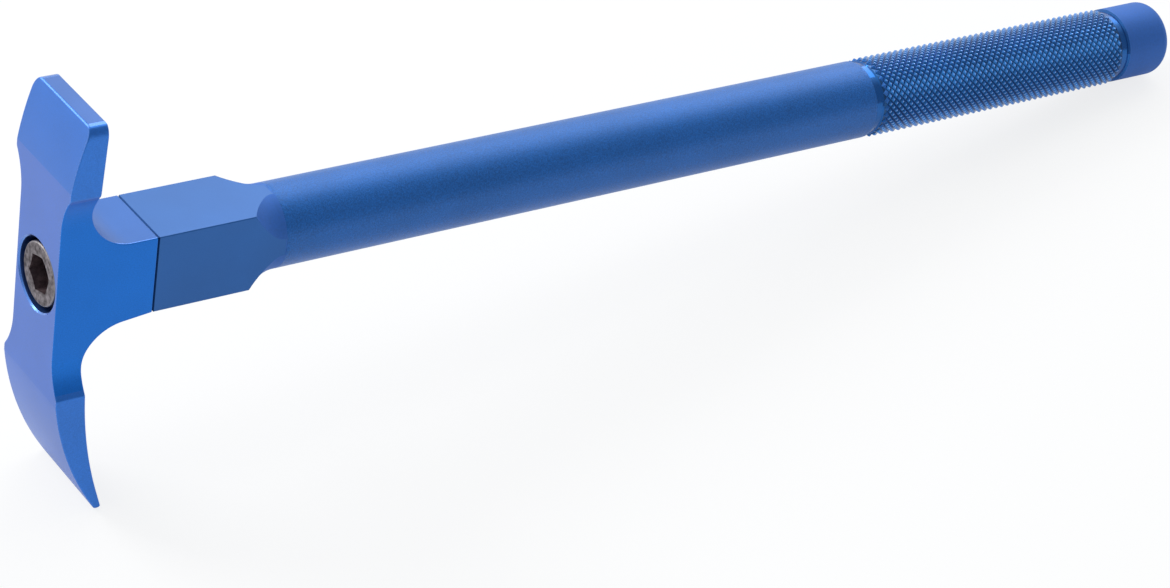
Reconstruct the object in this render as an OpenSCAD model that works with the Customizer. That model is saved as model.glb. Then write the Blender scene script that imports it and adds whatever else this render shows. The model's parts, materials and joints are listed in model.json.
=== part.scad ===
// Seal puller: a two-ended claw head held by a socket-head cap screw on a turned bar
// handle with a square shank and a diamond-knurled grip. It lies as it comes to rest,
// on the lower claw's tip and the butt's rim. Lengths are in millimetres.

/* [Handle] */
// Diameter of the round bar
bar_d = 19.05; // [18.8:0.05:20]
// Length from the joint face to the butt
handle_len = 298; // [290:1:340]
// Width across the flats of the square shank
shank_side = 18.6; // [17:0.1:18.6]
// Length of the shank's square corners
shank_len = 23.4; // [16:0.1:30]
// Radius of the turned cove that runs from the square corners into the bar
cove_r = 10; // [8:0.5:16]
// Distance from the joint face to the end of the milled flats
flats_end = 31.5; // [30:0.1:45]
// Round on the butt's rim
rim_r = 3; // [1:0.1:4]

/* [Grip] */
// Distance from the joint face to the knurl
knurl_start = 200.3; // [180:0.1:202]
// Length of the knurled band
knurl_len = 80.2; // [50:0.1:80.4]
// Starts of the knurl each way round
knurl_starts = 31; // [16:1:34]
// Height of the diamonds' points above the bar
knurl_crest = 0.28; // [0.1:0.01:0.4]
// Depth of the knurl's valleys below the bar
knurl_root = 0.25; // [0.1:0.01:0.4]
// Width of the relief groove at each end of the knurl
relief_w = 2.1; // [1:0.1:4]
// Depth of the relief grooves
relief_depth = 0.6; // [0.5:0.05:1.5]
// Chamfer on the outer edge of each relief groove
relief_chamfer = 0.4; // [0.1:0.05:0.5]

/* [Claw head] */
// Thickness from the front face to the joint face
head_t = 23; // [20:0.1:28]
// Width across the claws
claw_w = 24.8; // [22:0.1:28]
// Thickness of the claws at their roots
claw_t = 6.75; // [6:0.05:8]
// Reach of the upper claw above the handle's axis
upper_reach = 40.8; // [34:0.1:46]
// Lean of the upper claw's back towards the handle, in degrees
upper_lean = 2.9; // [0:0.1:6]
// Half height of the flat front face
face_half = 26.2; // [25:0.1:30]
// Angle of the crease between the front face and the claws' outer curves
crease_angle = 7.9; // [4:0.1:12]
// Radius of the claws' outer curves
outer_r = 70; // [64:0.5:76]
// Radius of the lower claw's inner curve
inner_r = 103; // [95:1:120]
// Radius of the lower claw's tip
tip_r = 0.85; // [0.5:0.05:1.2]
// Fillet in the throats between the boss and the claws
throat_r = 10.5; // [6:0.1:11]
// Fall of the boss's underside towards the lower claw, in degrees
boss_fall = 6.5; // [2:0.1:9]
// Radius of the waist's side curves
waist_r = 15.2; // [14:0.1:20]
// Half height of the waist's straight sides
waist_half = 15.4; // [10:0.1:16]
// Round where the waist's curves meet the claws
shoulder_r = 1.2; // [0.5:0.1:2]
// Round on the upper claw's end corners
end_corner_r = 2.2; // [1:0.1:4]
// Round on the lower claw's tip corners
tip_corner_r = 0.8; // [0.4:0.1:2]

/* [Screw] */
// Diameter of the thread
screw_d = 9.525; // [8:0.005:9.6]
// Length under the head
screw_len = 28.6; // [24:0.1:36]
// Diameter of the head
screw_head_d = 14.3; // [13:0.1:15]
// Height of the head
screw_head_h = 9.5; // [8:0.1:10]
// Round edge of the head, cut as a chamfer
screw_edge = 0.4; // [0.2:0.1:1]
// Width across the flats of the hex socket
socket_af = 7.94; // [7:0.01:8.2]
// Depth of the hex socket
socket_depth = 5.2; // [4.5:0.1:6]
// Turn of the hex socket as the screw came to stop, in degrees
socket_turn = 14; // [0:1:60]
// Depth of the head's face below the head's front face
screw_recess = 0.5; // [0.5:0.05:2]
// Diameter of the counterbore
counterbore_d = 16.6; // [16:0.1:17.6]
// Diameter of the clearance hole
clearance_d = 10.1; // [9.8:0.1:11]

/* [Edges] */
// Chamfer round both joint faces
joint_chamfer = 0.25; // [0.1:0.05:0.6]
// Chamfer on the counterbore's mouth
mouth_chamfer = 0.35; // [0.1:0.05:0.6]

/* [Hidden] */
$fn = 96;

blue = [0.16, 0.40, 0.76];
grip_blue = [0.13, 0.33, 0.66];
oxide = [0.30, 0.28, 0.27];

bar_r = bar_d / 2;
shank_half = shank_side / 2;
claw_half = claw_w / 2;
slab = 60;

// The stock is wider than the square's corners, so that its flats meet in sharp edges
stock_r = shank_half * sqrt(2) + 1;
cove_drop = shank_half * sqrt(2) - bar_r;
cove_end = shank_len + sqrt(2 * cove_r * cove_drop - cove_drop * cove_drop);
tap_depth = screw_len - (head_t - screw_recess - screw_head_h) + 4;
tap_clearance = 0.05;
drill_point = 0.3 * screw_d;

knurl_cols = 2 * knurl_starts;
knurl_rows = 2 * round(knurl_len * knurl_starts / (PI * bar_d));

// The head's side view: x along the handle from the joint face, y up towards the upper claw
claw_x = claw_t - head_t;
upper_throat = [claw_x + throat_r, shank_half + throat_r];
lower_throat = [
    claw_x + throat_r,
    -shank_half + tan(boss_fall) * (claw_x + throat_r) - throat_r / cos(boss_fall)
];
outer_lower = [
    -head_t + outer_r * cos(crease_angle),
    -face_half + outer_r * sin(crease_angle)
];
outer_upper = [outer_lower.x, -outer_lower.y];
inner_lower = [claw_x + inner_r, lower_throat.y];
upper_back_x = claw_x + (upper_reach - upper_throat.y) * tan(upper_lean);

// Meeting point of two circles on the right-hand side of the line from the first to the second
function circles_meet(a, ra, b, rb) =
    let (
        gap = norm(b - a),
        along = (b - a) / gap,
        reach = (gap * gap + ra * ra - rb * rb) / (2 * gap),
        rise = sqrt(ra * ra - reach * reach)
    )
    a + reach * along + rise * [along.y, -along.x];

// The tip's round touches both curves of the lower claw from inside
tip = circles_meet(outer_lower, outer_r - tip_r, inner_lower, inner_r + tip_r);
tip_outer = outer_lower + (tip - outer_lower) * outer_r / (outer_r - tip_r);
tip_inner = inner_lower + (tip - inner_lower) * inner_r / (inner_r + tip_r);
tip_low = tip.y - tip_r;

// The ground line touches the tip's round and the butt's rim from below
butt_rim = [handle_len - rim_r, rim_r - bar_r];
rest_span = butt_rim - tip;
rest_tilt = atan2(rest_span.y, rest_span.x) - asin((rim_r - tip_r) / norm(rest_span));
function rested(p) = [
    p.x * cos(rest_tilt) + p.y * sin(rest_tilt),
    p.y * cos(rest_tilt) - p.x * sin(rest_tilt)
];
rest_front = min(
    rested(outer_lower).x - outer_r,
    rested([-head_t, -face_half]).x
);
rest_back = rested([butt_rim.x, -butt_rim.y]).x + rim_r;
rest_shift = [-(rest_front + rest_back) / 2, 0, tip_r - rested(tip).y];

// Lays the tool, modelled along its own axis, down on the ground
module rest() {
    translate(rest_shift)
        rotate([0, rest_tilt, 0])
            children();
}

// Stands a side view up along the tool's axis, centred on the middle plane
module side_slab() {
    rotate([90, 0, 0])
        linear_extrude(slab, center = true)
            children();
}

// Turns a round piece so that its axis runs along the handle
module along_axis() {
    rotate([0, 90, 0])
        children();
}

// Four wedges that chamfer the edges of the handle's joint face
module joint_wedges() {
    for (turn = [0 : 90 : 270])
        rotate([turn, 0, 0])
            side_slab()
                polygon([
                    [-1, shank_half - joint_chamfer - 1],
                    [joint_chamfer + 1, shank_half + 1],
                    [-1, shank_half + 1]
                ]);
}

// Half section of the turned handle: x is the radius, y the distance from the joint face
module handle_section() {
    difference() {
        union() {
            difference() {
                square([stock_r, cove_end]);
                translate([bar_r + cove_r, cove_end])
                    circle(cove_r);
            }
            square([bar_r, handle_len - rim_r]);
            square([bar_r - rim_r, handle_len]);
            translate([bar_r - rim_r, handle_len - rim_r])
                circle(rim_r);
        }
        grip_recess();
    }
}

// The recess that the knurl stands in, with a relief groove left open at each end
module grip_recess() {
    floor_r = bar_r - relief_depth;
    mouth_r = bar_r - relief_chamfer;
    low = knurl_start - relief_w;
    high = knurl_start + knurl_len + relief_w;
    polygon([
        [floor_r, low],
        [mouth_r, low],
        [bar_r + relief_chamfer, low - 2 * relief_chamfer],
        [bar_r + relief_chamfer, high + 2 * relief_chamfer],
        [mouth_r, high],
        [floor_r, high]
    ]);
}

// Crests and valleys alternate round each row and from row to row, and the end rows are low
function knurl_radius(row, col) =
    row == 0 || row == knurl_rows || (row + col) % 2 == 1
        ? bar_r - knurl_root
        : bar_r + knurl_crest;

function knurl_point(row, col) =
    let (
        turn = 360 * col / knurl_cols,
        radius = knurl_radius(row, col)
    )
    [knurl_start + row * knurl_len / knurl_rows, radius * cos(turn), radius * sin(turn)];

function knurl_index(row, col) = row * knurl_cols + col % knurl_cols;

// Each cell is split along its valley, so that four facets meet at every crest
function knurl_facets(row, col) =
    let (
        a = knurl_index(row, col),
        b = knurl_index(row, col + 1),
        c = knurl_index(row + 1, col + 1),
        d = knurl_index(row + 1, col)
    )
    (row + col) % 2 == 0
        ? [[a, d, b], [c, b, d]]
        : [[a, c, b], [a, d, c]];

module knurl() {
    polyhedron(
        points = [
            for (row = [0 : knurl_rows], col = [0 : knurl_cols - 1])
                knurl_point(row, col)
        ],
        faces = concat(
            [[for (col = [0 : knurl_cols - 1]) knurl_index(0, col)]],
            [
                for (row = [0 : knurl_rows - 1], col = [0 : knurl_cols - 1])
                    each knurl_facets(row, col)
            ],
            [[for (col = [knurl_cols - 1 : -1 : 0]) knurl_index(knurl_rows, col)]]
        )
    );
}

// One bar, turned and knurled, with its front end milled square and tapped
module handle() {
    color(grip_blue)
        rest() {
            difference() {
                along_axis()
                    rotate_extrude()
                        handle_section();
                for (turn = [0 : 90 : 270])
                    rotate([turn, 0, 0])
                        translate([-1, -slab / 2, shank_half])
                            cube([flats_end + 1, slab, slab]);
                joint_wedges();
                along_axis()
                    translate([0, 0, -1])
                        cylinder(h = tap_depth + 1, d = screw_d + 2 * tap_clearance);
                along_axis()
                    translate([0, 0, tap_depth])
                        cylinder(h = drill_point, d1 = screw_d + 2 * tap_clearance, d2 = 0);
            }
            knurl();
        }
}

// The lower claw: a blade between two arcs, closed by the tip's round
module lower_blade() {
    across = (tip_inner - tip_outer) / norm(tip_inner - tip_outer);
    below = [across.y, -across.x] * slab;
    margin = across * 3;
    difference() {
        intersection() {
            translate(outer_lower)
                circle(outer_r);
            translate([-head_t, lower_throat.y - slab])
                square([slab, slab]);
        }
        translate(inner_lower)
            circle(inner_r);
        polygon([
            tip_outer - margin,
            tip_inner + margin,
            tip_inner + margin + below,
            tip_outer - margin + below
        ]);
    }
    translate(tip)
        circle(tip_r);
}

// The front plate, the upper claw and the boss, before the throats are cut
module upper_body() {
    lower_touch = lower_throat + throat_r * [-sin(boss_fall), cos(boss_fall)];
    intersection() {
        polygon([
            [-head_t, lower_throat.y - claw_t],
            [-head_t, upper_reach],
            [upper_back_x, upper_reach],
            [claw_x, upper_throat.y],
            upper_throat,
            [upper_throat.x, shank_half],
            [0, shank_half],
            [0, -shank_half],
            lower_touch,
            lower_throat,
            [claw_x, lower_throat.y],
            [claw_x - claw_t / 2, lower_throat.y - claw_t]
        ]);
        union() {
            translate(outer_upper)
                circle(outer_r);
            translate([-slab, -slab + face_half])
                square([2 * slab, slab]);
        }
    }
}

// The head as its side view shows it, still as wide as the slab
module head_side() {
    difference() {
        union() {
            side_slab()
                upper_body();
            side_slab()
                lower_blade();
        }
        for (throat = [upper_throat, lower_throat])
            side_slab()
                translate(throat)
                    circle(throat_r);
    }
}

// Front view of one side of the head: x is the distance from the middle plane, y the height
module head_front_half() {
    waist_x = shank_half + waist_r;
    shoulder_x = claw_half - shoulder_r;
    shoulder_y = waist_half + sqrt(pow(waist_r + shoulder_r, 2) - pow(waist_x - shoulder_x, 2));
    touch = waist_r / (waist_r + shoulder_r);
    touch_x = waist_x + (shoulder_x - waist_x) * touch;
    touch_y = waist_half + (shoulder_y - waist_half) * touch;
    difference() {
        translate([0, tip_low - 1])
            square([claw_half, upper_reach - tip_low + 1]);
        translate([shank_half, -waist_half])
            square([waist_r, 2 * waist_half]);
        for (side = [-1, 1]) {
            translate([waist_x, side * waist_half])
                circle(waist_r);
            polygon([
                [shoulder_x, side * shoulder_y],
                [claw_half + 1, side * shoulder_y],
                [claw_half + 1, side * touch_y],
                [touch_x, side * touch_y]
            ]);
        }
        corner_cut(claw_half, upper_reach, end_corner_r, 1);
        corner_cut(claw_half, tip_low, tip_corner_r, -1);
    }
    for (side = [-1, 1])
        translate([shoulder_x, side * shoulder_y])
            circle(shoulder_r);
}

// What a round takes off a corner at x, y; side is 1 for an upper corner and -1 for a lower one
module corner_cut(x, y, radius, side) {
    difference() {
        translate([x - radius, side > 0 ? y - radius : y - 2])
            square([radius + 1, radius + 2]);
        translate([x - radius, y - side * radius])
            circle(radius);
    }
}

// Counterbore, its chamfered mouth and the clearance hole for the screw
module screw_holes() {
    floor = screw_recess + screw_head_h;
    along_axis()
        translate([0, 0, -head_t]) {
            translate([0, 0, -1])
                cylinder(h = floor + 1, d = counterbore_d);
            translate([0, 0, -mouth_chamfer])
                cylinder(
                    h = 2 * mouth_chamfer,
                    d1 = counterbore_d + 4 * mouth_chamfer,
                    d2 = counterbore_d
                );
            cylinder(h = head_t + 1, d = clearance_d);
        }
}

// One machined piece: the side view and the front view, cut through each other
module puller_head() {
    color(blue)
        rest()
            difference() {
                intersection() {
                    head_side();
                    rotate([90, 0, 90])
                        translate([0, 0, -slab / 2])
                            linear_extrude(slab) {
                                head_front_half();
                                mirror([1, 0])
                                    head_front_half();
                            }
                }
                mirror([1, 0, 0])
                    joint_wedges();
                screw_holes();
            }
}

// Socket-head cap screw, from its face to its chamfered end
module head_screw() {
    lead = 0.12 * screw_d;
    socket_r = socket_af / 2 / cos(30);
    color(oxide)
        rest()
            along_axis()
                translate([0, 0, screw_recess - head_t])
                    difference() {
                        union() {
                            cylinder(
                                h = screw_edge,
                                d1 = screw_head_d - 2 * screw_edge,
                                d2 = screw_head_d
                            );
                            translate([0, 0, screw_edge])
                                cylinder(h = screw_head_h - screw_edge, d = screw_head_d);
                            cylinder(h = screw_head_h + screw_len - lead, d = screw_d);
                            translate([0, 0, screw_head_h + screw_len - lead])
                                cylinder(h = lead, d1 = screw_d, d2 = screw_d - 2 * lead);
                        }
                        rotate(socket_turn)
                            translate([0, 0, -1])
                                cylinder(h = socket_depth + 1, r = socket_r, $fn = 6);
                        translate([0, 0, socket_depth])
                            cylinder(h = 0.2 * socket_af, d1 = socket_af, d2 = 0);
                    }
}

handle();
puller_head();
head_screw();
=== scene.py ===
import json
import math

import bmesh
import bpy
from mathutils import Matrix, Vector


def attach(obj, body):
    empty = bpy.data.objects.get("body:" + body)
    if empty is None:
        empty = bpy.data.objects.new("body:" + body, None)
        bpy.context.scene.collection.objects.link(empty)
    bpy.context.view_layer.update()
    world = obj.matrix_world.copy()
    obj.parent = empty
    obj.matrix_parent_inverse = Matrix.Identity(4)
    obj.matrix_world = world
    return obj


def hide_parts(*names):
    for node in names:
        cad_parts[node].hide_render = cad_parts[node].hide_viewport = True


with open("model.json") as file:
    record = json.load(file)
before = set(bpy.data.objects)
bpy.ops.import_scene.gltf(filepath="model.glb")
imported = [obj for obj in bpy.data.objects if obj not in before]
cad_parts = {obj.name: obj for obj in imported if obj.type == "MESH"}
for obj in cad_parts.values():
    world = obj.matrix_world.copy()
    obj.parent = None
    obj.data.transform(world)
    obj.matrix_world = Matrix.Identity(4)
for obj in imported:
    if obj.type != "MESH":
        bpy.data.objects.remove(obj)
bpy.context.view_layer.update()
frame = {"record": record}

# The handle: one bar of aluminium, turned with a cove that runs into the bar, its front
# end milled square and tapped, the grip knurled between two relief grooves. The plain bar
# is blasted, the cove and the butt are turned to a satin, and all of it is anodised blue.

# Sizes are in millimetres in the tool's own frame: x runs along the handle from the
# joint face, z towards the upper claw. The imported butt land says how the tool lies.
mm = 0.001
mm_per_metre = 1000
land_x = 289.0
land = next(m for m in frame["record"]["mounts"] if m["name"] == "butt_land")
axis = Vector(land["axis"])
joint_centre = Vector(land["pos_m"]) - axis * land_x * mm
tilt = math.atan2(-axis.z, axis.x)
laid = Matrix.Translation(joint_centre) @ Matrix.Rotation(tilt, 4, "Y") @ Matrix.Scale(mm, 4)

bar_r = 9.525
handle_len = 298.0
shank_half = 9.3
shank_land = 13.04
shank_len = 23.4
cove_r = 10.0
flats_end = 31.5
flat_fade = 1.4
blast_start = 31.9
blast_line = 0.03
rim_r = 3.0
joint_chamfer = 0.35
knurl_start = 200.3
knurl_len = 80.2
knurl_starts = 31
knurl_rows = 84
knurl_crest = 9.805
knurl_root = 9.275
knurl_lead = 0.3
bed_sink = 0.03
bed_inset = 0.02
groove_w = 2.1
groove_r = 8.925
groove_chamfer = 0.4
groove_corner = 0.05
groove_corner_end = 0.12
butt_plain = 6.0
butt_rings = (4.4, 2.2)
tap_r = 4.8125
tap_depth = 19.6
tap_point = 22.46
flat_steps = 4
round_steps = 24
weld_gap = 0.002
tiny = 1e-6


def ring_angles(flat_angle):
    """The flat that each point belongs to and its turn from there, all round the bar."""
    turns = []
    for side in range(4):
        start = side * math.pi / 2
        for step in range(flat_steps + 1):
            turns.append((start, flat_angle * (2 * step / flat_steps - 1)))
        span = math.pi / 2 - 2 * flat_angle
        for step in range(1, round_steps):
            turns.append((start, flat_angle + span * step / round_steps))
    return turns


def handle_ring(bm, x, radius, half=None, square=False):
    """One ring at x: a circle cut by flats at half from the axis, its rounds flat if square."""
    if half is None:
        flat_angle = math.acos(shank_half / bar_r)
    else:
        flat_angle = math.acos(half / max(radius, bar_r))
    ring = []
    for start, turn in ring_angles(flat_angle):
        reach = radius
        if abs(turn) <= flat_angle + tiny:
            if half is not None:
                across = half * math.tan(flat_angle) * turn / flat_angle
                turn = math.atan2(across, half)
                reach = math.hypot(across, half)
        elif square:
            span = math.pi / 2 - 2 * flat_angle
            nearest_half = round(2 * (turn - flat_angle) / span) / 2
            turn = flat_angle + span * nearest_half
        angle = start + turn
        ring.append(bm.verts.new((x, reach * math.cos(angle), reach * math.sin(angle))))
    return ring


def join_rings(bm, rings):
    """Quads between each ring and the next; each ring runs anticlockwise seen from +x."""
    for near, far in zip(rings, rings[1:]):
        for i in range(len(near)):
            k = (i + 1) % len(near)
            bm.faces.new((near[i], near[k], far[k], far[i]))


def fan(bm, ring, point, outward=True):
    """Closes a ring with triangles to one point on the axis."""
    apex = bm.verts.new(point)
    for i in range(len(ring)):
        k = (i + 1) % len(ring)
        order = (ring[i], ring[k], apex) if outward else (ring[k], ring[i], apex)
        bm.faces.new(order)


def handle_body():
    """The turned and milled bar, closed at the tapped hole and at the butt."""
    bm = bmesh.new()
    cove_drop = shank_half * math.sqrt(2) - bar_r
    cove_end = shank_len + math.sqrt(2 * cove_r * cove_drop - cove_drop ** 2)

    def cove_at(x):
        return bar_r + cove_r - math.sqrt(cove_r ** 2 - max(cove_end - x, 0) ** 2)

    joint_half = shank_half - joint_chamfer
    joint_land = shank_land * joint_half / shank_half
    rings = [handle_ring(bm, tap_depth, tap_r)]
    rings.append(handle_ring(bm, 0, tap_r))
    rings.append(handle_ring(bm, 0, joint_land, joint_half, square=True))
    rings.append(handle_ring(bm, joint_chamfer, shank_land, shank_half, square=True))
    land_turn = math.acos(1 - (shank_land - bar_r) / cove_r)
    land_end = cove_end - cove_r * math.sin(land_turn)
    rings.append(handle_ring(bm, land_end, shank_land, shank_half, square=True))
    cove_steps = 20
    for step in range(1, cove_steps + 1):
        x = land_end + (flats_end - land_end) * step / cove_steps
        rings.append(handle_ring(bm, x, cove_at(x), shank_half))
    flat_ring = rings[-1]
    fade_end = flats_end + flat_fade
    round_ring = handle_ring(bm, fade_end, bar_r)

    def fading_ring(x, sink):
        """Ring where the flats fade into the bar, sunk a little at the blast's edge."""
        share = (x - flats_end) / flat_fade
        ease = share * share * (3 - 2 * share)
        points = [flat.co.lerp(full.co, ease) for flat, full in zip(flat_ring, round_ring)]
        shrink = 1 - sink / bar_r
        return [bm.verts.new((x, point.y * shrink, point.z * shrink)) for point in points]

    fade_steps = 10
    fade = [(flats_end + flat_fade * step / fade_steps, 0) for step in range(1, fade_steps)]
    fade = [(x, sink) for x, sink in fade if abs(x - blast_start) > 2 * blast_line]
    fade.append((blast_start, blast_line))
    fade += [(blast_start - blast_line, 0), (blast_start + blast_line, 0)]
    rings += [fading_ring(x, sink) for x, sink in sorted(fade)]
    rings.append(round_ring)
    knurl_end = knurl_start + knurl_len
    low = knurl_start - groove_w
    high = knurl_end + groove_w
    mouth = bar_r - groove_chamfer
    corner_r = groove_r + groove_corner
    bed = knurl_root - bed_sink
    outline = []
    bar_steps = 16
    for step in range(1, bar_steps + 1):
        outline.append((fade_end + (low - groove_chamfer - fade_end) * step / bar_steps, bar_r))
    outline += [(low, mouth), (low + groove_corner, corner_r)]
    outline += [(low + groove_corner_end, groove_r), (knurl_start - knurl_lead, groove_r)]
    outline += [(knurl_start + bed_inset, bed), (knurl_end - bed_inset, bed)]
    outline += [(knurl_end + knurl_lead, groove_r), (high - groove_corner_end, groove_r)]
    outline += [(high - groove_corner, corner_r), (high, mouth)]
    outline += [(high + groove_chamfer, bar_r), (high + groove_chamfer + butt_plain, bar_r)]
    rim_steps = 18
    for step in range(rim_steps + 1):
        turn = math.pi / 2 * step / rim_steps
        outline.append((
            handle_len - rim_r + rim_r * math.sin(turn),
            bar_r - rim_r + rim_r * math.cos(turn),
        ))
    outline += [(handle_len, radius) for radius in butt_rings]
    rings += [handle_ring(bm, x, radius) for x, radius in outline]
    join_rings(bm, rings)
    fan(bm, rings[0], (tap_point, 0, 0), outward=False)
    fan(bm, rings[-1], (handle_len, 0, 0))
    bmesh.ops.remove_doubles(bm, verts=bm.verts, dist=weld_gap)
    bmesh.ops.recalc_face_normals(bm, faces=bm.faces)
    return bm


machined, blasted, bright, knurled, satin, joint_shade = range(6)
zone_edge = 0.05


def finish_zone(x):
    """Which finish the bar has at x, leaving aside its cove and the joint chamfer, which is painted
    dark as the shade in the gap at the joint.
    """
    if x < blast_start:
        return machined
    if x < knurl_start - groove_w - groove_chamfer:
        return blasted
    if x > knurl_start + knurl_len + groove_w + groove_chamfer:
        return satin
    in_knurl = knurl_start + zone_edge < x < knurl_start + knurl_len - zone_edge
    return knurled if in_knurl else bright


def new_group(name, inputs, outputs):
    """An empty shader node group with its sockets, and its input and output nodes."""
    group = bpy.data.node_groups.new(name, "ShaderNodeTree")
    for label, kind, value in inputs:
        socket = group.interface.new_socket(name=label, in_out="INPUT", socket_type=kind)
        socket.default_value = value
    for label, kind in outputs:
        group.interface.new_socket(name=label, in_out="OUTPUT", socket_type=kind)
    return group, group.nodes.new("NodeGroupInput"), group.nodes.new("NodeGroupOutput")


def add_node(tree, kind, settings=None, **inputs):
    """A node with its settings, and inputs, by name or as i and a number, set or linked."""
    node = tree.nodes.new(kind)
    for name, value in (settings or {}).items():
        setattr(node, name, value)
    for name, value in inputs.items():
        by_number = name[0] == "i" and name[1:].isdigit()
        socket = node.inputs[int(name[1:]) if by_number else name]
        if isinstance(value, bpy.types.NodeSocket):
            tree.links.new(value, socket)
        else:
            socket.default_value = value
    return node


def maths(tree, operation, first, second):
    """The result of a Math node on two values or sockets."""
    node = add_node(tree, "ShaderNodeMath", {"operation": operation}, i0=first, i1=second)
    return node.outputs[0]


def blend(tree, share, first, second):
    """The colour that goes from the first to the second by a share."""
    node = add_node(tree, "ShaderNodeMix", {"data_type": "RGBA"}, i0=share, i6=first, i7=second)
    return node.outputs[2]


def spread_noise(tree, noise, low, high):
    """A noise texture's usual range, spread over low to high."""
    usual_low, usual_high = 0.3, 0.7
    node = add_node(
        tree, "ShaderNodeMapRange",
        Value=noise, i1=usual_low, i2=usual_high, i3=low, i4=high,
    )
    return node.outputs[0]


def tool_place():
    """Group that gives a point's place in the tool's own frame, in millimetres."""
    group, _, end = new_group("tool place", [], [("Place", "NodeSocketVector")])
    coords = group.nodes.new("ShaderNodeTexCoord")
    back = Matrix.Rotation(-tilt, 3, "Y")
    mapping = add_node(
        group, "ShaderNodeMapping",
        i0=coords.outputs["Object"],
        Location=-(back @ joint_centre) * mm_per_metre,
        Rotation=(0, -tilt, 0),
        Scale=(mm_per_metre, mm_per_metre, mm_per_metre),
    )
    group.links.new(mapping.outputs[0], end.inputs["Place"])
    return group


def anodise_grain():
    """Group for the skin of anodised metal: fine pits, cloudy tone, edges worn pale, and painted
    shade that darkens the knurl's valleys.
    """
    group, start, end = new_group(
        "anodise grain",
        [
            ("Pit Size", "NodeSocketFloat", 0.5),
            ("Worn Edge", "NodeSocketFloat", 0.3),
            ("Speckle", "NodeSocketFloat", 0.1),
            ("Valley Shade", "NodeSocketFloat", 0.0),
            ("Colour", "NodeSocketColor", (0.1, 0.2, 0.5, 1)),
        ],
        [
            ("Colour", "NodeSocketColor"),
            ("Height", "NodeSocketFloat"),
        ],
    )
    worn_blue = (0.30, 0.46, 0.82, 1)
    cloud_dark, cloud_light = 0.95, 1.05
    place = group.nodes.new("ShaderNodeGroup")
    place.node_tree = place_group
    pits = add_node(
        group, "ShaderNodeTexNoise",
        Vector=place.outputs[0],
        Scale=maths(group, "DIVIDE", 1.0, start.outputs["Pit Size"]),
        Detail=3.0, Roughness=0.65,
    )
    cloud = add_node(
        group, "ShaderNodeTexNoise", Vector=place.outputs[0], Scale=0.06, Detail=2.0,
    )
    speck = spread_noise(group, pits.outputs["Fac"], -1.0, 1.0)
    amount = maths(group, "MULTIPLY", speck, start.outputs["Speckle"])
    drift = spread_noise(group, cloud.outputs["Fac"], cloud_dark, cloud_light)
    across = add_node(
        group, "ShaderNodeVectorMath", {"operation": "MULTIPLY"}, i0=place.outputs[0], i1=(0, 1, 1),
    )
    out_r = add_node(group, "ShaderNodeVectorMath", {"operation": "LENGTH"}, i0=across.outputs[0])
    # Painted shade: the colour darkens towards the knurl's root, standing in for the shade in the
    # valleys between the diamonds.
    depth = add_node(
        group, "ShaderNodeMapRange",
        Value=out_r.outputs["Value"], i1=knurl_root, i2=knurl_crest, i3=1.0, i4=0.0,
    )
    valley_painted_shade = maths(group, "MULTIPLY", depth.outputs[0], start.outputs["Valley Shade"])
    level = maths(group, "ADD", drift, maths(group, "SUBTRACT", amount, valley_painted_shade))
    tone = add_node(group, "ShaderNodeHueSaturation", Value=level, Color=start.outputs["Colour"])
    edge = add_node(group, "ShaderNodeAttribute", {"attribute_name": "worn_edge"})
    wear = maths(group, "MULTIPLY", edge.outputs["Fac"], start.outputs["Worn Edge"])
    group.links.new(blend(group, wear, tone.outputs[0], worn_blue), end.inputs["Colour"])
    group.links.new(pits.outputs["Fac"], end.inputs["Height"])
    return group


# valley_shade sets how strongly painted shade darkens the knurl's valleys.
def anodised(name, colour, pit_size, speckle, bump, rough, metal, coat, worn=0.0, valley_shade=0.0):
    """Dyed anodising on aluminium: a metal under a thin clear skin."""
    skin_ior = 1.6
    skin_rough = 0.35
    rough_drift = 0.1
    material = bpy.data.materials.new(name)
    material.use_nodes = True
    tree = material.node_tree
    shader = tree.nodes["Principled BSDF"]
    grain = tree.nodes.new("ShaderNodeGroup")
    grain.node_tree = grain_group
    grain.inputs["Pit Size"].default_value = pit_size
    grain.inputs["Speckle"].default_value = speckle
    grain.inputs["Worn Edge"].default_value = worn
    grain.inputs["Valley Shade"].default_value = valley_shade
    grain.inputs["Colour"].default_value = (*colour, 1)
    tree.links.new(grain.outputs["Colour"], shader.inputs["Base Color"])
    height = grain.outputs["Height"]
    uneven = spread_noise(tree, height, rough * (1 - rough_drift), rough * (1 + rough_drift))
    tree.links.new(uneven, shader.inputs["Roughness"])
    relief = add_node(tree, "ShaderNodeBump", Strength=1.0, Distance=bump * mm, Height=height)
    tree.links.new(relief.outputs[0], shader.inputs["Normal"])
    shader.inputs["Metallic"].default_value = metal
    shader.inputs["IOR"].default_value = skin_ior
    shader.inputs["Coat Weight"].default_value = coat
    shader.inputs["Coat Roughness"].default_value = skin_rough
    shader.inputs["Coat IOR"].default_value = skin_ior
    return material


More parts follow.
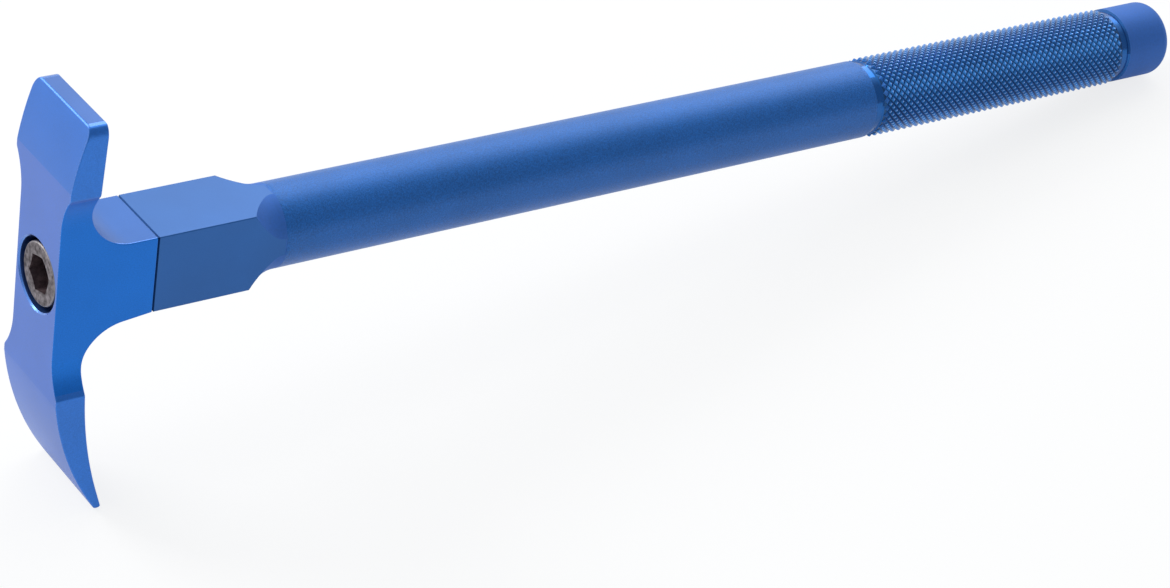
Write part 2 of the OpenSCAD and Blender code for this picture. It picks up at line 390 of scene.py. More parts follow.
place_group = tool_place()
grain_group = anodise_grain()
handle_finishes = [
    anodised(
        "handle machined anodise", (0.011, 0.103, 0.352),
        pit_size=0.25, speckle=0.06, bump=0.008, rough=0.34, metal=0.92, coat=0.40,
    ),
    anodised(
        "handle blasted anodise", (0.013, 0.128, 0.430),
        pit_size=0.34, speckle=0.34, bump=0.13, rough=0.54, metal=0.92, coat=0.38,
    ),
    # Its worn share turns the groove mouths paler: wear that also paints the light line those
    # chamfers catch.
    anodised(
        "handle bright anodise", (0.008, 0.100, 0.350),
        pit_size=0.25, speckle=0.03, bump=0.005, rough=0.10, metal=0.96, coat=0.30, worn=0.35,
    ),
    # The knurl's copy: its valleys darkened by painted shade, its worn tips made paler still as a
    # painted highlight on the points.
    anodised(
        "handle knurl anodise", (0.026, 0.236, 0.720),
        pit_size=0.25, speckle=0.05, bump=0.005, rough=0.20, metal=0.96, coat=0.30,
        worn=0.75, valley_shade=0.72,
    ),
    anodised(
        "handle satin anodise", (0.046, 0.160, 0.500),
        pit_size=0.60, speckle=0.12, bump=0.010, rough=0.68, metal=0.82, coat=0.08,
    ),
    # Near black: painted shade for the gap where the handle meets the head.
    anodised(
        "handle seam anodise", (0.006, 0.027, 0.092),
        pit_size=0.25, speckle=0.03, bump=0.005, rough=0.45, metal=1.0, coat=0.0,
    ),
]

# Share of a diamond's plan and of its height at its foot, its shoulder and its flat tip.
diamond_levels = ((1.0, 0.0), (0.32, 0.83), (0.14, 1.0))
# How pale the diamonds' shoulders and tips are: real wear, pushed paler as a painted highlight on
# the points.
shoulder_wear_and_glint = 0.7
tip_wear_and_glint = 1.0


def knurl_diamond():
    """One raised diamond of the knurl at the top of the bar, closed below, in metres."""
    bm = bmesh.new()
    step_x = knurl_len / knurl_rows
    step_turn = math.pi / knurl_starts
    sink = knurl_root * (1 - math.cos(step_turn))
    worn = bm.faces.layers.float.new("worn_edge")
    levels = []
    for share, rise in diamond_levels:
        middle = knurl_root + (knurl_crest - knurl_root) * rise
        side = knurl_root * math.sin(step_turn) * share
        ends = ((-step_x * share, 0, 0), (0, -side, sink), (step_x * share, 0, 0), (0, side, sink))
        levels.append([bm.verts.new((x, y, middle - drop * share)) for x, y, drop in ends])
    for low, top in zip(levels, levels[1:]):
        for i in range(4):
            k = (i + 1) % 4
            face = bm.faces.new((low[i], low[k], top[k], top[i]))
            face[worn] = shoulder_wear_and_glint if top is levels[-1] else 0.0
    point = bm.faces.new(levels[-1])
    point[worn] = tip_wear_and_glint
    bm.faces.new(reversed(levels[0]))
    bmesh.ops.scale(bm, vec=(mm, mm, mm), verts=bm.verts)
    mesh = bpy.data.meshes.new("knurl diamond")
    bm.to_mesh(mesh)
    bm.free()
    return mesh


def knurl_tree():
    """Geometry Nodes tree that sets the diamond in staggered rows round the bar."""
    tree = bpy.data.node_groups.new("knurl rows", "GeometryNodeTree")
    tree.interface.new_socket(name="Diamond", in_out="INPUT", socket_type="NodeSocketGeometry")
    sizes = (("Rows", "Int"), ("Starts", "Int"), ("Start", "Float"), ("Row Step", "Float"))
    for label, kind in sizes:
        tree.interface.new_socket(name=label, in_out="INPUT", socket_type="NodeSocket" + kind)
    tree.interface.new_socket(name="Finish", in_out="INPUT", socket_type="NodeSocketMaterial")
    tree.interface.new_socket(name="Knurl", in_out="OUTPUT", socket_type="NodeSocketGeometry")
    start = tree.nodes.new("NodeGroupInput")
    end = tree.nodes.new("NodeGroupOutput")

    def work_out(operation, first, second):
        return maths(tree, operation, first, second)

    starts = start.outputs["Starts"]
    count = work_out("MULTIPLY", start.outputs["Rows"], starts)
    index = tree.nodes.new("GeometryNodeInputIndex").outputs[0]
    whole_rows = work_out("FLOOR", work_out("DIVIDE", index, starts), 0.0)
    row = work_out("ADD", whole_rows, 1.0)
    place = work_out("MODULO", index, starts)
    column = work_out("ADD", work_out("MULTIPLY", place, 2.0), work_out("MODULO", row, 2.0))
    turn_step = work_out("DIVIDE", math.pi, starts)
    turn = work_out("SUBTRACT", work_out("MULTIPLY", column, turn_step), math.pi / 2)
    run = work_out("MULTIPLY", row, start.outputs["Row Step"])
    along = work_out("ADD", start.outputs["Start"], run)
    spot = add_node(tree, "ShaderNodeCombineXYZ", X=along)
    spin = add_node(tree, "ShaderNodeCombineXYZ", X=turn)
    points = add_node(tree, "GeometryNodePoints", Count=count, Position=spot.outputs[0])
    band = add_node(
        tree, "GeometryNodeInstanceOnPoints",
        Points=points.outputs[0], Instance=start.outputs["Diamond"], Rotation=spin.outputs[0],
    )
    real = add_node(tree, "GeometryNodeRealizeInstances", Geometry=band.outputs[0])
    dressed = add_node(
        tree, "GeometryNodeSetMaterial",
        Geometry=real.outputs[0], Material=start.outputs["Finish"],
    )
    tree.links.new(dressed.outputs[0], end.inputs["Knurl"])
    return tree


def knurl_band(finish):
    """The whole knurl as a plain mesh in the tool's frame, in metres."""
    maker = bpy.data.objects.new("knurl maker", knurl_diamond())
    bpy.context.scene.collection.objects.link(maker)
    modifier = maker.modifiers.new("knurl rows", "NODES")
    modifier.node_group = knurl_tree()
    values = {
        "Rows": knurl_rows - 1,
        "Starts": knurl_starts,
        "Start": knurl_start * mm,
        "Row Step": knurl_len / knurl_rows * mm,
        "Finish": finish,
    }
    for item in modifier.node_group.interface.items_tree:
        if item.in_out == "INPUT" and item.name in values:
            modifier[item.identifier] = values[item.name]
    view = bpy.context.evaluated_depsgraph_get()
    mesh = bpy.data.meshes.new_from_object(maker.evaluated_get(view))
    maker.modifiers.remove(modifier)
    single = maker.data
    bpy.data.objects.remove(maker)
    bpy.data.meshes.remove(single)
    return mesh


def place_piece(bm, name, materials, crease_deg, body="root"):
    """Lays a finished mesh down as a piece, smooth but for edges sharper than the crease."""
    mesh = bpy.data.meshes.new(name)
    bm.to_mesh(mesh)
    bm.free()
    mesh.transform(laid)
    for material in materials:
        mesh.materials.append(material)
    mesh.polygons.foreach_set("use_smooth", [True] * len(mesh.polygons))
    mesh.set_sharp_from_angle(angle=math.radians(crease_deg))
    mesh.update()
    piece = bpy.data.objects.new(name, mesh)
    bpy.context.scene.collection.objects.link(piece)
    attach(piece, body)
    return piece


def make_handle():
    """The bar with its finishes and worn edges, and the knurl's diamonds on it."""
    square_on = 0.999
    mouth_facing = (0.5, 0.9)
    bm = handle_body()
    worn = bm.faces.layers.float.new("worn_edge")
    for face in bm.faces:
        middle = face.calc_center_median()
        zone = finish_zone(middle.x)
        out = max(abs(middle.y), abs(middle.z))
        on_flat = max(abs(face.normal.y), abs(face.normal.z)) > square_on
        on_land = math.hypot(middle.y, middle.z) > shank_land - zone_edge
        # Groove mouth faces that face the butt are worn pale, which also paints a highlight line on
        # them.
        mouth_wear_and_highlight = zone == bright and mouth_facing[0] < face.normal.x < mouth_facing[1]
        if on_land or mouth_wear_and_highlight:
            face[worn] = 1.0
        if shank_len < middle.x < blast_start and not on_flat:
            zone = satin
        # Painted shade: the joint chamfer takes a near-black copy of the anodise, standing in for
        # the shade in the gap against the head.
        if middle.x < joint_chamfer and out > shank_half - joint_chamfer:
            zone = joint_shade
        face.material_index = zone
    band = knurl_band(handle_finishes[knurled])
    band.transform(Matrix.Scale(mm_per_metre, 4))
    count = len(bm.faces)
    bm.from_mesh(band)
    bm.faces.ensure_lookup_table()
    for face in bm.faces[count:]:
        face.material_index = knurled
    bpy.data.meshes.remove(band)
    return place_piece(bm, "handle_bar", handle_finishes, crease_deg=7.5)


handle = make_handle()
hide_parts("handle")

# The claw head: one block of aluminium, milled to its side view and then to its front
# view, with a counterbored hole through the boss and broken edges, and anodised a
# brighter blue than the handle.
head_t = 23.0
claw_half = 12.4
claw_x = -16.25
upper_reach = 40.8
upper_lean = math.radians(2.9)
face_half = 26.2
crease = math.radians(7.9)
outer_r = 70.0
inner_r = 103.0
tip_r = 0.85
throat_r = 10.5
boss_fall = math.radians(6.5)
waist_r = 15.2
waist_half = 15.4
shoulder_r = 1.2
end_corner_r = 2.2
end_corner_rise = 3.0
end_round = 0.65
tip_corner_r = 0.8
edge_break = 0.3
counterbore_r = 8.3
counterbore_floor = -13.0
clearance_r = 5.05
mouth_chamfer = 0.35

throat_x = claw_x + throat_r
upper_throat_z = shank_half + throat_r
lower_throat_z = -shank_half + math.tan(boss_fall) * throat_x - throat_r / math.cos(boss_fall)
outer_x = -head_t + outer_r * math.cos(crease)
outer_z = face_half - outer_r * math.sin(crease)
inner_x = claw_x + inner_r
end_rise = (upper_reach - end_round - outer_z) / (outer_r - end_round)
round_x = outer_x - (outer_r - end_round) * math.sqrt(1 - end_rise ** 2)


def tip_centre():
    """Centre of the round that touches both curves of the lower claw from inside."""
    first = Vector((outer_x, -outer_z))
    second = Vector((inner_x, lower_throat_z))
    near, far = outer_r - tip_r, inner_r + tip_r
    gap = (second - first).length
    along = (second - first) / gap
    reach = (gap ** 2 + near ** 2 - far ** 2) / (2 * gap)
    rise = math.sqrt(near ** 2 - reach ** 2)
    return first + reach * along + rise * Vector((along.y, -along.x))


tip = tip_centre()
tip_low = tip.y - tip_r
shoulder_y = claw_half - shoulder_r
waist_y = shank_half + waist_r
shoulder_z = waist_half + math.sqrt((waist_r + shoulder_r) ** 2 - (waist_y - shoulder_y) ** 2)
flare_turn = math.asin((shoulder_z - waist_half) / (waist_r + shoulder_r))


def half_width(z):
    """Half the head's width at height z, from its front view."""
    up = abs(z)
    if z > upper_reach - end_corner_rise:
        lift = min(1 - (upper_reach - z) / end_corner_rise, 1)
        return claw_half - end_corner_r * (1 - math.sqrt(1 - lift ** 2))
    if z < tip_low + tip_corner_r:
        drop = min(tip_low + tip_corner_r - z, tip_corner_r)
        return claw_half - tip_corner_r + math.sqrt(tip_corner_r ** 2 - drop ** 2)
    if up <= waist_half:
        return shank_half
    touch = waist_half + waist_r * math.sin(flare_turn)
    if up <= touch:
        return waist_y - math.sqrt(waist_r ** 2 - (up - waist_half) ** 2)
    if up < shoulder_z:
        return shoulder_y + math.sqrt(shoulder_r ** 2 - (shoulder_z - up) ** 2)
    return claw_half


def front_side(z, inset):
    """x and outward normal of the head's front at height z, with the outline drawn in by inset."""
    radius = outer_r - inset
    flat_x = -head_t + inset
    crease_z = outer_z + math.sqrt(radius ** 2 - (flat_x - outer_x) ** 2)
    if abs(z) <= crease_z:
        return flat_x, (-1.0, 0.0)
    toward = (tip - Vector((outer_x, -outer_z))).normalized()
    if z < -outer_z + toward.y * radius:
        small = tip_r - inset
        x = tip.x - math.sqrt(max(small ** 2 - (z - tip.y) ** 2, 0))
        return x, ((x - tip.x) / small, (z - tip.y) / small)
    round_z = upper_reach - end_round
    if z > round_z + (end_round - inset) * end_rise:
        small = end_round - inset
        x = round_x - math.sqrt(max(small ** 2 - (z - round_z) ** 2, 0))
        return x, ((x - round_x) / small, (z - round_z) / small)
    centre_z = math.copysign(outer_z, z)
    x = outer_x - math.sqrt(radius ** 2 - (z - centre_z) ** 2)
    return x, ((x - outer_x) / radius, (z - centre_z) / radius)


def back_side(z, inset):
    """x and outward normal of the head's back at height z, above or below the boss's top."""
    toward = (tip - Vector((inner_x, lower_throat_z))).normalized()
    if z < lower_throat_z + toward.y * (inner_r + inset):
        small = tip_r - inset
        x = tip.x + math.sqrt(max(small ** 2 - (z - tip.y) ** 2, 0))
        return x, ((x - tip.x) / small, (z - tip.y) / small)
    if z < lower_throat_z:
        radius = inner_r + inset
        x = inner_x - math.sqrt(radius ** 2 - (z - lower_throat_z) ** 2)
        return x, ((inner_x - x) / radius, (lower_throat_z - z) / radius)
    radius = throat_r + inset
    touch_z = lower_throat_z + radius * math.cos(boss_fall)
    if z <= touch_z:
        x = throat_x - math.sqrt(max(radius ** 2 - (z - lower_throat_z) ** 2, 0))
        return x, ((throat_x - x) / radius, (lower_throat_z - z) / radius)
    foot = boss_foot(inset)
    if z < foot:
        x = -inset - (foot - z) / math.tan(boss_fall)
        return x, (math.sin(boss_fall), -math.cos(boss_fall))
    if z < shank_half - inset - tiny:
        return -inset, (1.0, 0.0)
    if z < upper_throat_z:
        x = throat_x - math.sqrt(max(radius ** 2 - (z - upper_throat_z) ** 2, 0))
        return x, ((throat_x - x) / radius, (upper_throat_z - z) / radius)
    x = claw_x + (z - upper_throat_z) * math.tan(upper_lean) - inset / math.cos(upper_lean)
    return x, (math.cos(upper_lean), -math.sin(upper_lean))


def boss_foot(inset):
    """Height of the corner between the joint face and the boss's underside."""
    return -shank_half - inset * math.tan(boss_fall) + inset / math.cos(boss_fall)


def arc_turns(first, last, step):
    """Angles in radians at every step of degrees from the first to short of the last."""
    return [math.radians(degrees) for degrees in range(first, last, step)]


def head_levels():
    """Heights of the rows that the head's sides are built from, lowest first."""
    shoulder_steps = 7
    waist_steps = 10
    least_gap = 0.004
    plain_rows = 60
    plain_first = 0.6
    plain_step = 2.0
    plain_gap = 0.8
    e = edge_break
    top = upper_reach - e
    crease_z = outer_z + math.sqrt((outer_r - e) ** 2 - (-head_t + e - outer_x) ** 2)
    radius = throat_r + e
    small = tip_r - e
    hard = [top, boss_foot(e), shank_half - e, crease_z, -crease_z, lower_throat_z, upper_throat_z]
    hard += [tip.y - small * math.cos(turn) for turn in arc_turns(10, 90, 8)]
    hard += [-waist_half, waist_half, shoulder_z, -shoulder_z]
    for side in (-1, 1):
        for step in range(1, shoulder_steps + 1):
            turn = flare_turn * step / shoulder_steps
            hard.append(side * (shoulder_z - shoulder_r * math.sin(turn)))
        for step in range(1, waist_steps):
            turn = flare_turn * step / waist_steps
            hard.append(side * (waist_half + waist_r * math.sin(turn)))
    for turn in arc_turns(5, 90, 5):
        hard.append(upper_throat_z - radius * math.cos(turn))
        if turn > boss_fall:
            hard.append(lower_throat_z + radius * math.cos(turn))
    hard.append(lower_throat_z + radius * math.cos(boss_fall))
    for turn in arc_turns(0, 60, 5):
        hard.append(upper_reach - end_corner_rise * (1 - math.sin(turn)))
    for turn in arc_turns(20, 90, 5):
        hard.append(upper_reach - end_round + (end_round - e) * math.sin(turn))
    levels = [tip.y - small]
    for z in sorted(hard):
        if z - levels[-1] > least_gap:
            levels.append(z)
    for row in range(plain_rows):
        z = tip.y + plain_first + plain_step * row
        if z < top and min(abs(z - other) for other in levels) > plain_gap:
            levels.append(z)
    return sorted(levels)


def corner_normals(first, last, steps=4):
    """Outward normals that turn from the first to the last round an outside corner."""
    start = math.atan2(first[1], first[0])
    sweep = (math.atan2(last[1], last[0]) - start + math.pi) % (2 * math.pi) - math.pi
    turns = [start + sweep * k / steps for k in range(steps + 1)]
    return [(math.cos(t), math.sin(t)) for t in turns]


def head_outline(levels):
    """Stations round the side view as (x, z, normal), and the back and front ends of each row."""
    e = edge_break
    boss_top = shank_half - e
    stations = []
    rows = {}
    for z in levels[1:]:
        back_x, back_n = back_side(z, e)
        normals = [back_n]
        if abs(z - boss_foot(e)) < tiny:
            back_x = -e
            normals = corner_normals((math.sin(boss_fall), -math.cos(boss_fall)), (1, 0))
        if abs(z - boss_top) < tiny:
            stations += [(-e, z, n) for n in corner_normals((1, 0), (0, 1))]
            back_x, normals = throat_x, [(0.0, 1.0)]
        if z == levels[-1]:
            normals = corner_normals(back_n, (0, 1))
        stations += [(back_x, z, n) for n in normals]
        rows[z] = [(back_x, z)]
    crease_z = max(z for z in levels if front_side(z, e)[1] == (-1.0, 0.0))
    for z in reversed(levels[1:]):
        front_x, front_n = front_side(z, e)
        normals = [front_n]
        if abs(abs(z) - crease_z) < tiny:
            bent = (-math.cos(crease), math.copysign(math.sin(crease), z))
            normals = [bent, (-1.0, 0.0)] if z > 0 else [(-1.0, 0.0), bent]
        stations += [(front_x, z, n) for n in normals]
        rows[z].append((front_x, z))
    stations.append((tip.x, levels[0], (0.0, -1.0)))
    return stations, rows


def flat_key(x, z):
    """What finds a corner of the head's flat sides again by its place."""
    return round(x, 5), round(z, 5)


# Material index that marks a broken edge until the head has its finishes.
edge_mark = 1


def head_block():
    """The head before its hole is bored: sides in rows, broken edges and the rim across."""
    bm = bmesh.new()
    levels = head_levels()
    stations, rows = head_outline(levels)
    break_steps = 3
    rims = []
    for side in (-1, 1):
        flat = {}
        rings = []
        for x, z, normal in stations:
            key = flat_key(x, z)
            if key not in flat:
                flat[key] = bm.verts.new((x, side * half_width(z), z))
            ring = [flat[key]]
            for step in range(1, break_steps + 1):
                turn = math.pi / 2 * step / break_steps
                out = edge_break * math.sin(turn)
                px, pz = x + normal[0] * out, z + normal[1] * out
                y = half_width(pz) - edge_break * (1 - math.cos(turn))
                ring.append(bm.verts.new((px, side * y, pz)))
            rings.append(ring)
        for k in range(len(rings)):
            this, after = rings[k], rings[(k + 1) % len(rings)]
            for step in range(break_steps):
                corners = [this[step], after[step], after[step + 1], this[step + 1]]
                corners = list(dict.fromkeys(corners))
                if len(corners) > 2:
                    face = bm.faces.new(corners)
                    face.material_index = edge_mark
        for low, high in zip(levels, levels[1:]):
            if low == levels[0]:
                low_points = [(tip.x, low)]
            else:
                low_points = [rows[low][1], rows[low][0]]
            loop = low_points + [rows[high][0], rows[high][1]]
            if abs(high - (shank_half - edge_break)) < tiny:
                loop = low_points + [(-edge_break, high), rows[high][0], rows[high][1]]
            corners = [flat[flat_key(x, z)] for x, z in loop]
            bm.faces.new(list(dict.fromkeys(corners)))
        rims.append([ring[-1] for ring in rings])
    near, far = rims
    for k in range(len(near)):
        after = (k + 1) % len(near)
        bm.faces.new((near[k], near[after], far[after], far[k]))
    bmesh.ops.recalc_face_normals(bm, faces=bm.faces)
    return bm


def bore_cutter():
    """What the counterbore, its chamfered mouth and the clearance hole take out."""
    bm = bmesh.new()
    bore_sides = 96
    over = 1.0
    turns = [2 * math.pi * k / bore_sides for k in range(bore_sides)]
    mouth_x = -head_t + mouth_chamfer
    outline = [(-head_t - over, counterbore_r + mouth_chamfer + over), (mouth_x, counterbore_r)]
    outline += [(counterbore_floor, counterbore_r), (counterbore_floor, clearance_r)]
    outline.append((over, clearance_r))
    rings = []
    for x, radius in outline:
        rings.append([bm.verts.new((x, radius * math.cos(t), radius * math.sin(t))) for t in turns])
    join_rings(bm, rings)
    fan(bm, rings[0], (outline[0][0], 0, 0), outward=False)
    fan(bm, rings[-1], (outline[-1][0], 0, 0))
    bmesh.ops.recalc_face_normals(bm, faces=bm.faces)
    return bm


def bored_head():
    """The head with its hole cut by an exact boolean."""
    pair = []
    for name, bm in (("head blank", head_block()), ("bore", bore_cutter())):
        mesh = bpy.data.meshes.new(name)
        bm.to_mesh(mesh)
        bm.free()
        mesh.materials.append(None)
        mesh.materials.append(None)
        maker = bpy.data.objects.new(name, mesh)
        bpy.context.scene.collection.objects.link(maker)
        pair.append(maker)
    blank, bore = pair
    cut = blank.modifiers.new("bore", "BOOLEAN")
    cut.operation = "DIFFERENCE"
    cut.solver = "EXACT"
    cut.object = bore
    view = bpy.context.evaluated_depsgraph_get()
    mesh = bpy.data.meshes.new_from_object(blank.evaluated_get(view))
    bm = bmesh.new()
    bm.from_mesh(mesh)
    bpy.data.meshes.remove(mesh)
    for maker in pair:
        spare = maker.data
        bpy.data.objects.remove(maker)
        bpy.data.meshes.remove(spare)
    return bm


boss_side, claw_side, head_front, head_back, bore_wall, claw_front, claw_end, edge_polish_and_highlight = range(8)
# Copies of one anodise for each way a face points and for the bore: partly the different machining
# of the plate's sides and the milled profile, partly painted light and shade, each copy's colour
# set for the light that face gets.
head_finishes_and_shading = [
    anodised(
        "boss side anodise", (0.008, 0.166, 0.63),
        pit_size=0.30, speckle=0.13, bump=0.02, rough=0.42, metal=0.9, coat=0.15,
    ),
    anodised(
        "claw side anodise", (0.024, 0.170, 0.615),
        pit_size=0.30, speckle=0.13, bump=0.02, rough=0.34, metal=0.9, coat=0.35,
    ),
    anodised(
        "head front anodise", (0.060, 0.165, 0.56),
        pit_size=0.30, speckle=0.09, bump=0.01, rough=0.52, metal=0.9, coat=0.45,
    ),
    anodised(
        "head back anodise", (0.022, 0.128, 0.440),
        pit_size=0.30, speckle=0.09, bump=0.01, rough=0.48, metal=0.9, coat=0.40,
    ),
    anodised(
        "head bore anodise", (0.080, 0.190, 0.58),
        pit_size=0.30, speckle=0.10, bump=0.01, rough=0.35, metal=0.9, coat=0.10,
    ),
    anodised(
        "claw front anodise", (0.025, 0.155, 0.56),
        pit_size=0.30, speckle=0.09, bump=0.01, rough=0.50, metal=0.9, coat=0.45,
    ),
    anodised(
        "claw end anodise", (0.040, 0.138, 0.440),
        pit_size=0.30, speckle=0.09, bump=0.01, rough=0.48, metal=0.9, coat=0.40,
    ),
    # Paler and smoother: the polish on the broken edges and the counterbore's mouth, made paler
    # still as a painted highlight.
    anodised(
        "head edge anodise", (0.078, 0.215, 0.62),
        pit_size=0.30, speckle=0.05, bump=0.005, rough=0.26, metal=0.9, coat=0.45,
    ),
]
# How far a face has to turn a way to count as facing it, or as facing it squarely.
turned_to = 0.3
squarely_to = 0.9


def head_shading_zone(middle, normal):
    """Which copy of the anodise, with its painted light and shade, a face of the head has, from its
    middle and the way it faces.
    """
    joint_skin = 0.01
    in_bore = math.hypot(middle.y, middle.z) < counterbore_r + zone_edge
    if in_bore and -head_t + mouth_chamfer < middle.x < -joint_skin:
        return bore_wall
    if abs(normal.y) > turned_to:
        return claw_side if abs(middle.z) > shoulder_z - shoulder_r else boss_side
    if normal.x < -turned_to:
        return claw_front if middle.z > face_half else head_front
    at_end = middle.z > upper_reach - end_corner_r and normal.z > squarely_to
    return claw_end if at_end else head_back


def make_head():
    """The bored head with its finishes and painted light and shade, its edges and the counterbore's
    mouth polished and painted paler as a highlight.
    """
    mouth_zone_r = 9.0
    least_slope = 0.1
    bm = bored_head()
    for face in bm.faces:
        middle = face.calc_center_median()
        normal = face.normal
        by_mouth = math.hypot(middle.y, middle.z) < mouth_zone_r
        sloped = least_slope < abs(normal.x) < squarely_to
        at_mouth = by_mouth and sloped and middle.x < -head_t + mouth_chamfer
        at_edge = face.material_index == edge_mark and abs(normal.y) < turned_to
        face.material_index = edge_polish_and_highlight if at_mouth or at_edge else head_shading_zone(middle, normal)
    return place_piece(bm, "claw_head", head_finishes_and_shading, crease_deg=6.5)


head = make_head()
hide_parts("puller_head")

# The screw: a steel socket-head cap screw with a worn black oxide finish, driven through
# the head into the handle's tapped hole.
screw_face_x = -22.5
screw_head_r = 7.15
screw_head_h = 9.5
screw_edge = 0.5
screw_r = 4.7625
screw_end_x = 15.6
screw_lead = 1.14
socket_af = 7.94
socket_turn = math.radians(14)
socket_depth = 5.2
mouth_r = 4.75
mouth_slope = 0.22
drill_r = socket_af * 0.25
drill_depth = 0.8
drill_point = 1.4
floor_gap = 0.05
under_break = 0.2
screw_sides = 96


def hex_reach(turn, across_flats):
    """Distance from the axis to a hexagon's side at an angle from one of its corners."""
    from_flat = (turn % (math.pi / 3)) - math.pi / 6
    return across_flats / 2 / math.cos(from_flat)


def make_screw():
    """The screw as one turned and broached body, its socket in its own oxide that paints the shade
    of the recess, darker than its worn head.
    """
    bm = bmesh.new()
    turns = [2 * math.pi * k / screw_sides for k in range(screw_sides)]

    def spot(x, radius, turn):
        angle = turn + socket_turn
        return bm.verts.new((x, radius * math.sin(angle), -radius * math.cos(angle)))

    def round_ring(x, radius):
        return [spot(x, radius, turn) for turn in reversed(turns)]

    def hex_ring(x, slope=0.0):
        """The socket's hexagon, cut back from x where it meets the cone of the mouth."""
        ring = []
        for turn in reversed(turns):
            radius = hex_reach(turn, socket_af)
            ring.append(spot(x + (mouth_r - radius) * slope, radius, turn))
        return ring

    floor_x = screw_face_x + socket_depth
    rings = [round_ring(floor_x + drill_depth, drill_r)]
    rings.append(round_ring(floor_x, socket_af / 2 - floor_gap))
    rings.append(hex_ring(floor_x))
    rings.append(hex_ring(screw_face_x, mouth_slope))
    rings.append(round_ring(screw_face_x, mouth_r))
    edge_steps = 9
    for step in range(edge_steps + 1):
        turn = math.pi / 2 * step / edge_steps
        rings.append(round_ring(
            screw_face_x + screw_edge * (1 - math.cos(turn)),
            screw_head_r - screw_edge * (1 - math.sin(turn)),
        ))
    under_x = screw_face_x + screw_head_h
    rings.append(round_ring(under_x - under_break, screw_head_r))
    rings.append(round_ring(under_x, screw_head_r - under_break))
    rings.append(round_ring(under_x, screw_r))
    rings.append(round_ring(screw_end_x - screw_lead, screw_r))
    rings.append(round_ring(screw_end_x, screw_r - screw_lead))
    join_rings(bm, rings)
    fan(bm, rings[0], (floor_x + drill_point, 0, 0), outward=False)
    fan(bm, rings[-1], (screw_end_x, 0, 0))
    bmesh.ops.recalc_face_normals(bm, faces=bm.faces)
    socket_index = 1
    mouth_skin = 0.1
    socket_from = 0.4
    edge_facing = (0.15, 0.95)
    worn = bm.faces.layers.float.new("worn_edge")
    for face in bm.faces:
        middle = face.calc_center_median()
        radius = math.hypot(middle.y, middle.z)
        rounded = edge_facing[0] < abs(face.normal.x) < edge_facing[1]
        in_socket = screw_face_x + socket_from < middle.x < floor_x + drill_point
        if radius < mouth_r - mouth_skin and in_socket:
            face.material_index = socket_index
        elif rounded and radius > mouth_r and middle.x < screw_face_x + screw_edge:
            face[worn] = 1.0
    return place_piece(bm, "cap_screw", [worn_oxide, socket_shade_oxide], crease_deg=12)


def black_oxide(name, thick, thin):
    """Black oxide on steel, mottled between its thick and its worn thin colour."""
    material = bpy.data.materials.new(name)
    material.use_nodes = True
    tree = material.node_tree
    shader = tree.nodes["Principled BSDF"]
    place = tree.nodes.new("ShaderNodeGroup")
    place.node_tree = place_group
    bare_steel = (0.42, 0.40, 0.39, 1)
    edge_bare = 0.5
    thick_to, thin_from = 0.36, 0.66
    smooth, coarse = 0.42, 0.6
    grit_depth = 0.05
    blotch = add_node(
        tree, "ShaderNodeTexNoise", Vector=place.outputs[0], Scale=0.75, Detail=5.0, Roughness=0.62,
    )
    grit = add_node(tree, "ShaderNodeTexNoise", Vector=place.outputs[0], Scale=4.0, Detail=3.0)
    shades = add_node(tree, "ShaderNodeValToRGB", Fac=blotch.outputs["Fac"])
    ramp = shades.color_ramp
    ramp.elements[0].position = thick_to
    ramp.elements[0].color = (*thick, 1)
    ramp.elements[1].position = thin_from
    ramp.elements[1].color = (*thin, 1)
    edge = add_node(tree, "ShaderNodeAttribute", {"attribute_name": "worn_edge"})
    bare = maths(tree, "MULTIPLY", edge.outputs["Fac"], edge_bare)
    tone = blend(tree, bare, shades.outputs[0], bare_steel)
    tree.links.new(tone, shader.inputs["Base Color"])
    rough = spread_noise(tree, grit.outputs["Fac"], smooth, coarse)
    tree.links.new(rough, shader.inputs["Roughness"])
    relief = add_node(
        tree, "ShaderNodeBump", Strength=0.35, Distance=grit_depth * mm, Height=grit.outputs["Fac"],
    )
    tree.links.new(relief.outputs[0], shader.inputs["Normal"])
    shader.inputs["Metallic"].default_value = 0.85
    return material


worn_oxide = black_oxide("worn black oxide", (0.040, 0.031, 0.034), (0.255, 0.226, 0.244))
# A copy of the black oxide for the hex socket, set apart to paint the shade inside the recess.
socket_shade_oxide = black_oxide("socket black oxide", (0.100, 0.066, 0.076), (0.22, 0.160, 0.168))
screw = make_screw()
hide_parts("head_screw")

# The studio: a white table, a surround that is pale behind and dim in front, a soft box and a
# strip light on the right, a small soft box on the left, and the photograph's camera.
table_half = 4.0
table_corners = [
    (-table_half, -table_half, 0),
    (table_half, -table_half, 0),
    (table_half, table_half, 0),
    (-table_half, table_half, 0),
]
table_mesh = bpy.data.meshes.new("table")
table_mesh.from_pydata(table_corners, [], [(0, 1, 2, 3)])
table = bpy.data.objects.new("table", table_mesh)
bpy.context.scene.collection.objects.link(table)


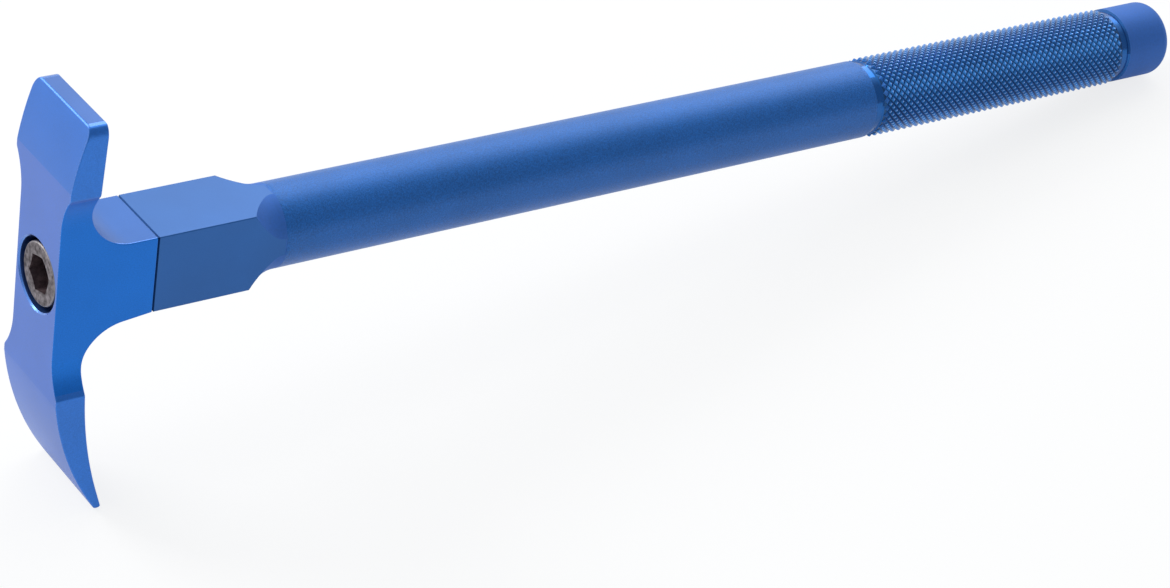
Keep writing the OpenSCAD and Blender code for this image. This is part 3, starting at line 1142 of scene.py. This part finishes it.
def table_white():
    """White table: mostly its own white to the camera, less so to metal, and still shadowed."""
    white_seen = 0.8
    white_mirrored = 0.4
    material = bpy.data.materials.new("table white")
    material.use_nodes = True
    tree = material.node_tree
    tree.nodes.remove(tree.nodes["Principled BSDF"])
    out = tree.nodes["Material Output"]
    matt = add_node(tree, "ShaderNodeBsdfDiffuse", Color=(0.86, 0.86, 0.86, 1))
    white = add_node(tree, "ShaderNodeEmission", Color=(1, 1, 1, 1), Strength=1.0)
    path = tree.nodes.new("ShaderNodeLightPath")
    seen = maths(
        tree, "MAXIMUM", path.outputs["Is Camera Ray"], path.outputs["Is Transmission Ray"],
    )
    direct = maths(tree, "MULTIPLY", seen, white_seen)
    mirrored = maths(tree, "MULTIPLY", path.outputs["Is Glossy Ray"], white_mirrored)
    share = maths(tree, "ADD", mirrored, direct)
    both = add_node(
        tree, "ShaderNodeMixShader", i0=share, i1=matt.outputs[0], i2=white.outputs[0],
    )
    tree.links.new(both.outputs[0], out.inputs["Surface"])
    return material


table_mesh.materials.append(table_white())

dim_front = (0.34, 0.42, 0.48, 1)
pale_behind = (1.1, 1.1, 1.1, 1)
dim_to, pale_from = -0.32, 0.02
world = bpy.data.worlds.new("pale surround")
bpy.context.scene.world = world
world.use_nodes = True
sky = world.node_tree
coords = sky.nodes.new("ShaderNodeTexCoord")
split = add_node(sky, "ShaderNodeSeparateXYZ", Vector=coords.outputs["Generated"])
behind = add_node(sky, "ShaderNodeMapRange", Value=split.outputs["Y"], i1=dim_to, i2=pale_from)
surround = blend(sky, behind.outputs[0], dim_front, pale_behind)
sky.links.new(surround, sky.nodes["Background"].inputs["Color"])
sky.nodes["Background"].inputs["Strength"].default_value = 1.0


def soft_lamp(name, place, aim, long_way, size, power):
    """A soft box that faces a point, with its second size along the long way."""
    data = bpy.data.lights.new(name, "AREA")
    data.shape = "RECTANGLE"
    data.size, data.size_y = size
    data.energy = power
    lamp = bpy.data.objects.new(name, data)
    away = (Vector(place) - Vector(aim)).normalized()
    side = Vector(long_way).cross(away).normalized()
    turned = Matrix((side, away.cross(side), away)).transposed().to_4x4()
    lamp.matrix_world = Matrix.Translation(place) @ turned
    bpy.context.scene.collection.objects.link(lamp)


slant = (0.07, -0.87, 0.49)
soft_lamp(
    "soft box on the right", place=(0.59, 0.57, 0.95), aim=(-0.05, 0, 0.04),
    long_way=slant, size=(0.42, 1.0), power=2.15,
)
soft_lamp(
    "strip light on the right", place=(0.95, 0.45, 0.67), aim=(0.08, 0, 0.02),
    long_way=slant, size=(0.24, 0.9), power=1.35,
)
soft_lamp(
    "small soft box on the left", place=(-0.43, 0.58, 0.54), aim=(-0.13, 0, 0.06),
    long_way=(0, 0, 1), size=(0.32, 0.32), power=3.2,
)

camera_place = (-0.37276, -0.50525, 0.45727)
camera_right = (0.82748, -0.56103, 0.02279)
camera_up = (0.32087, 0.50580, 0.80076)
lens = bpy.data.cameras.new("camera")
lens.sensor_fit = "HORIZONTAL"
lens.sensor_width = 36.0
lens.lens = 98.99
lens.clip_start = 0.01
lens.dof.use_dof = False
camera = bpy.data.objects.new("camera", lens)
right = Vector(camera_right).normalized()
back = right.cross(Vector(camera_up)).normalized()
turned = Matrix((right, back.cross(right), back)).transposed().to_4x4()
camera.matrix_world = Matrix.Translation(camera_place) @ turned
bpy.context.scene.collection.objects.link(camera)
bpy.context.scene.camera = camera
bpy.context.scene.view_settings.view_transform = "Standard"

bpy.context.view_layer.update()
